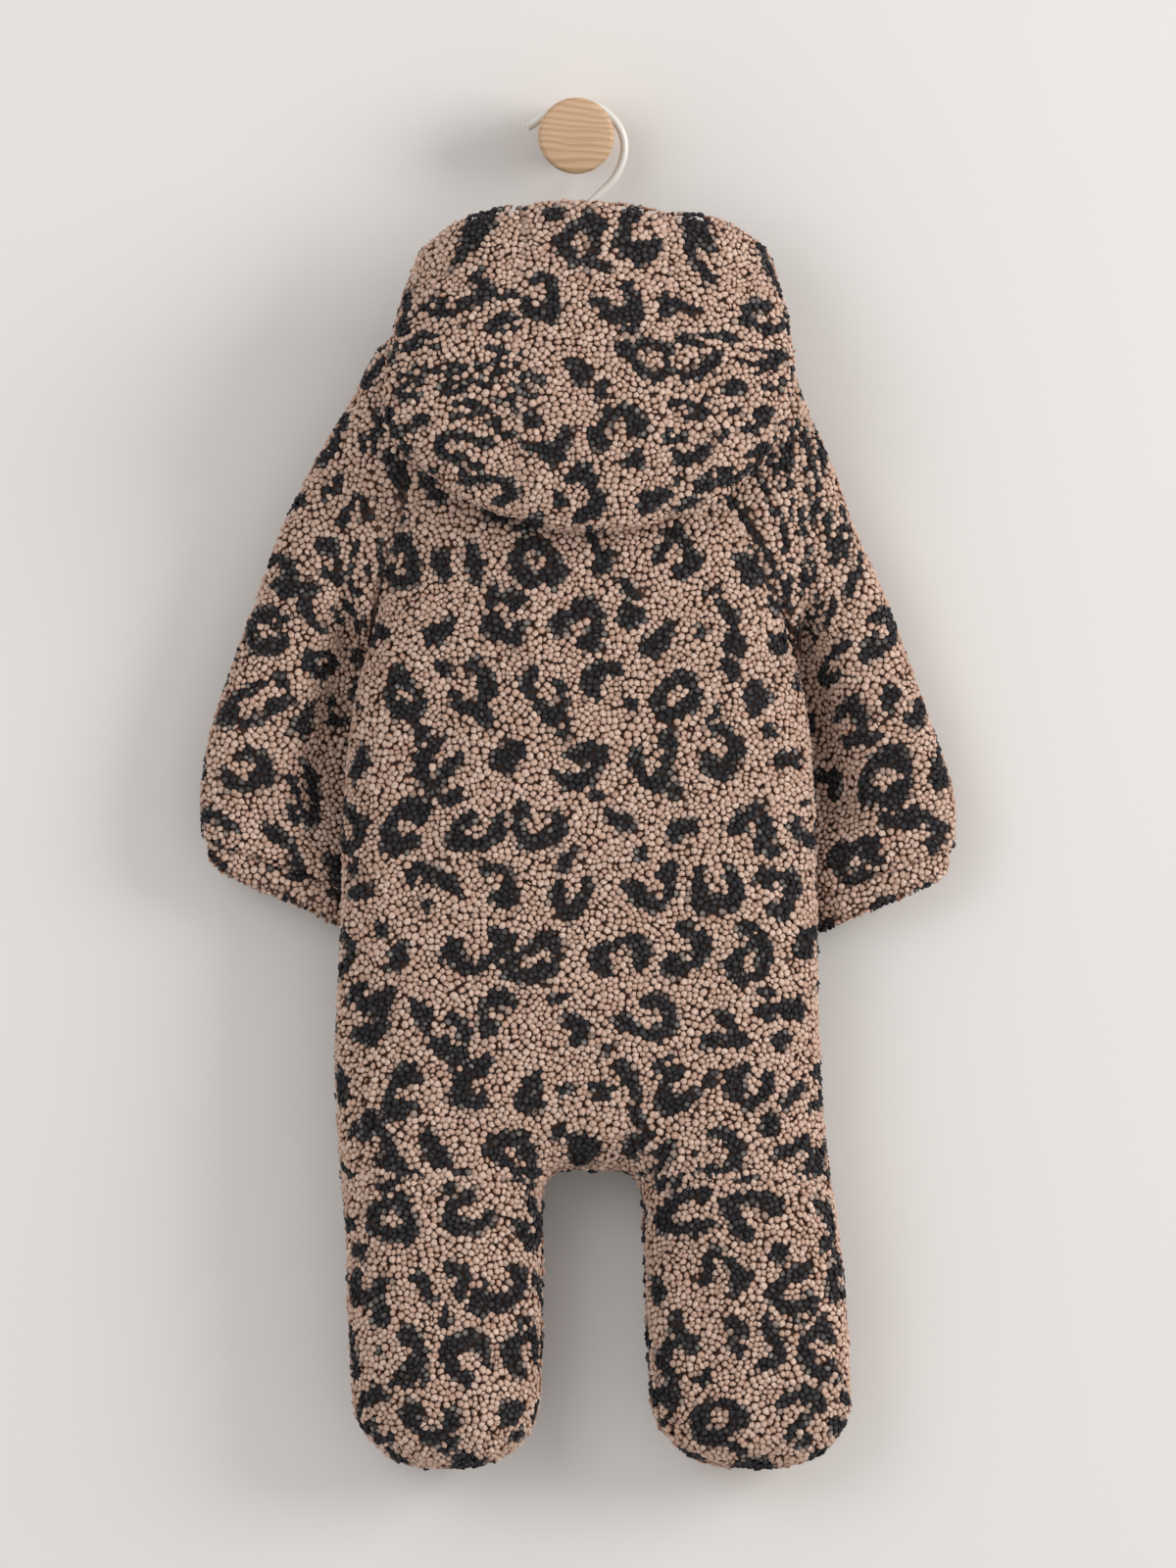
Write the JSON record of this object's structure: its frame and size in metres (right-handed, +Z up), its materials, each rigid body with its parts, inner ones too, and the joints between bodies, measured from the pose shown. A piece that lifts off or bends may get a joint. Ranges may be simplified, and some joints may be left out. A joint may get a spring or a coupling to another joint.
{
  "type": "hooded all-in-one on a wire hanger and wall peg",
  "caption": "Baby's hooded all-in-one in curled fleece with closed feet, a front zip and a hood folded back, on a coated wire hanger over a round wooden wall peg.",
  "frame": {"origin": "centre of the peg's flat back face, on the wall", "axes": "+Z up, +Y into the wall, +X to the right as seen from the room; the garment's back faces -Y"},
  "size_m": [0.382, 0.107, 0.6985],
  "materials": {
    "back_fleece": "curled pile, leopard print",
    "front_left_fleece": "curled pile, leopard print",
    "front_right_fleece": "curled pile, leopard print",
    "sleeve_left_fleece": "curled pile, leopard print",
    "sleeve_right_fleece": "curled pile, leopard print",
    "cuff_left_fleece": "curled pile",
    "cuff_right_fleece": "curled pile",
    "hood_left_fleece": "curled pile, leopard print",
    "hood_centre_fleece": "curled pile, leopard print",
    "hood_right_fleece": "curled pile, leopard print",
    "zip_tape_cloth": "woven tape with metal teeth",
    "zip_slider_metal": "satin",
    "zip_pull_metal": "satin",
    "hook_coat": "white coated wire, gloss",
    "arms_coat": "white coated, gloss",
    "peg_wood": "pale ash, oiled"
  },
  "bodies": {
    "garment": {"back_panel": "back_fleece", "front_left": "front_left_fleece", "front_right": "front_right_fleece", "sleeve_left": "sleeve_left_fleece", "sleeve_right": "sleeve_right_fleece", "cuff_left": "cuff_left_fleece", "cuff_right": "cuff_right_fleece", "hood_left": "hood_left_fleece", "hood_centre": "hood_centre_fleece", "hood_right": "hood_right_fleece", "zip_tape": "zip_tape_cloth", "zip_slider": "zip_slider_metal", "hanger_hook": "hook_coat", "hanger_arms": "arms_coat", "peg": "peg_wood"},
    "zip_pull": {"zip_pull": "zip_pull_metal"}
  },
  "joints": [
    {"name": "pull_hinge", "type": "hinge", "parent": "garment", "child": "zip_pull", "pos_m": [0.006, -0.0093, -0.138], "axis": [1, 0, 0], "range_deg": [0, 120]}
  ]
}
